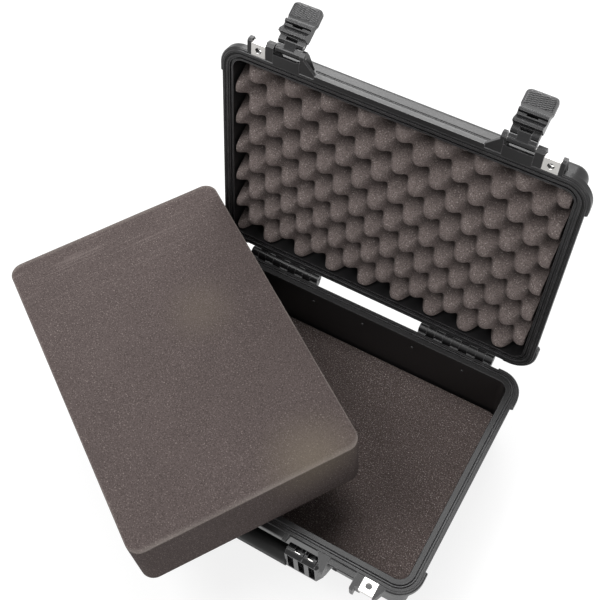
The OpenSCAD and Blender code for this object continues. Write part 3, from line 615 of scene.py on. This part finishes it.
def drooping(verts):
    """Leans the fingers towards the hinges, less beside the front and back walls."""
    share = np.clip((CRATE_TIP + CRATE_DEPTH + RIM_Z - verts[:, 2]) / CRATE_DEPTH, 0, 1)
    behind = np.clip((CRATE_HALF[1] - verts[:, 1]) / CRATE_ROOM, 0, 1)
    before = (CRATE_HALF[1] + verts[:, 1]) / CRATE_ROOM
    verts[:, 1] += CRATE_DROOP * (share - 1) * np.minimum(behind, before)
    return verts


def egg_crate():
    # The foam's share of painted shade is the depth into the hollows, which its material paints darker.
    obj = foam_solid("egg-crate-foam", CRATE_HALF, CRATE_CORNER, cell=2.0 * MM,
                     top=lambda x, y: np.full_like(x, RIM_Z + CRATE_BACK),
                     bottom=lambda x, y: RIM_Z + CRATE_TIP + crate_height(x, y),
                     edge=0.8 * MM, material=CRATE_FOAM, body="lid", place=LID, bend=drooping,
                     painted_light=lambda v: (v[:, 2] - RIM_Z - CRATE_TIP) / CRATE_DEPTH)
    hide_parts("lid_foam")


def loose_block():
    place = Matrix.Translation((BLOCK_CENTRE.x, BLOCK_CENTRE.y, 0)) @ Matrix.Rotation(BLOCK_TURN, 4, "Z")

    def top(x, y):
        """Just under the solid's top, with long, low waves."""
        wave = np.sin(x * 23 + 1.3) * np.cos(y * 31 + 0.4) + 0.5 * np.sin(x * 61 + y * 47)
        return BLOCK_HIGH.z - 0.5 * MM + 0.35 * MM * wave

    def pale_edges(v):
        """Share of the painted highlight: full on the top edges, fading inwards and down the wall."""
        inset = np.maximum(rounded_inset(v[:, 0], v[:, 1], BLOCK_HALF, BLOCK_CORNER), 0)
        return 1.3 - (BLOCK_HIGH.z - v[:, 2] + inset) / BLOCK_HIGHLIGHT_FADE

    obj = foam_solid("loose-foam-block", BLOCK_HALF, BLOCK_CORNER, cell=6 * MM, top=top,
                     bottom=lambda x, y: np.full_like(x, BLOCK_LOW.z), edge=0.9 * MM,
                     material=BLOCK_FOAM, body="block", place=place, levels=14, painted_light=pale_edges)
    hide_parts("foam_block")


def floor_pad():
    low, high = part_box("base_pad")
    half = (high - low) / 2

    def top(x, y):
        """Just under the solid's top, with long, low waves."""
        return high.z + 0.3 * MM * np.sin(x * 19 + 0.7) * np.cos(y * 27) - 0.4 * MM

    obj = foam_solid("floor-pad", (half.x, half.y), 11 * MM, cell=6 * MM, top=top,
                     bottom=lambda x, y: np.full_like(x, low.z), edge=1.5 * MM,
                     material=PAD_FOAM, body="base", place=Matrix.Identity(4))
    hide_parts("base_pad")


# ------------------------------------------------------------ studio

def white_floor():
    """A floor that lights the case as white paper does. Seen directly it is near white, with the shadow."""
    size = 6.0
    mesh = bpy.data.meshes.new("floor")
    corners = [(-size, -size, 0), (size, -size, 0), (size, size, 0), (-size, size, 0)]
    mesh.from_pydata(corners, [], [(0, 1, 2, 3)])
    floor = bpy.data.objects.new("floor", mesh)
    bpy.context.scene.collection.objects.link(floor)
    f = Finish("white floor", Base_Color=(0.8, 0.8, 0.8, 1), Roughness=1.0)
    shadowed = f.node("ShaderNodeBsdfDiffuse", Color=(0.25, 0.25, 0.25, 1))
    glow = f.node("ShaderNodeEmission", Strength=0.82)
    near_white = f.node("ShaderNodeAddShader")
    f.link(shadowed.outputs[0], near_white.inputs[0])
    f.link(glow.outputs[0], near_white.inputs[1])
    mix = f.node("ShaderNodeMixShader")
    f.link(f.seen_directly(), mix.inputs["Fac"])
    f.link(f.shader.outputs[0], mix.inputs[1])
    f.link(near_white.outputs[0], mix.inputs[2])
    f.link(mix.outputs[0], f.tree.nodes["Material Output"].inputs["Surface"])
    mesh.materials.append(f.material)


def white_world():
    """White where it is seen directly, and a weaker light on the case."""
    world = bpy.data.worlds.new("studio")
    bpy.context.scene.world = world
    world.use_nodes = True
    w = Tree(world.node_tree)
    sky = world.node_tree.nodes["Background"]
    sky.inputs["Color"].default_value = (1, 1, 1, 1)
    level = w.node("ShaderNodeMapRange", To_Min=0.28, To_Max=1.0)
    w.link(w.seen_directly(), level.inputs["Value"])
    w.link(level.outputs[0], sky.inputs["Strength"])


def area_light(name, at, towards, size, power):
    light = bpy.data.lights.new(name, "AREA")
    light.shape = "DISK"
    light.size = size
    light.energy = power
    obj = bpy.data.objects.new(name, light)
    obj.location = at
    obj.rotation_euler = (Vector(towards) - Vector(at)).to_track_quat("-Z", "Y").to_euler()
    bpy.context.scene.collection.objects.link(obj)


def lights():
    area_light("key", at=(-1.0, -0.6, 2.3), towards=(-0.05, 0.05, 0.2), size=1.2, power=28)
    area_light("side fill", at=(1.6, -1.3, 1.1), towards=(0, -0.1, 0.15), size=1.5, power=9)
    area_light("top softbox", at=(-0.28, 0.65, 2.1), towards=(-0.05, 0.05, 0.15), size=1.2, power=20)
    area_light("back softbox", at=(-0.6, 1.8, 1.5), towards=(0, 0.1, 0.2), size=1.5, power=36)


def camera():
    """The photograph's view, from a fit to the rims, the block and the lid."""
    eye = Vector((0.3256016, -0.4479344, 1.3065173))
    target = Vector((-0.0832748, 0.1268152, 0.12))
    roll = math.radians(6.1939)
    data = bpy.data.cameras.new("photo view")
    data.sensor_width = 36
    data.lens = 61.7047
    obj = bpy.data.objects.new("photo view", data)
    aim = (target - eye).to_track_quat("-Z", "Y").to_matrix().to_4x4()
    obj.matrix_world = Matrix.Translation(eye) @ aim @ Matrix.Rotation(-roll, 4, "Z")
    bpy.context.scene.collection.objects.link(obj)
    bpy.context.scene.camera = obj


def main():
    camera()
    dress_hard_parts()
    webs()
    front_line()
    for side in SIDES:
        thumb_grip(side)
    egg_crate()
    loose_block()
    floor_pad()
    white_floor()
    white_world()
    lights()
    bpy.context.scene.view_settings.view_transform = "Standard"


main()
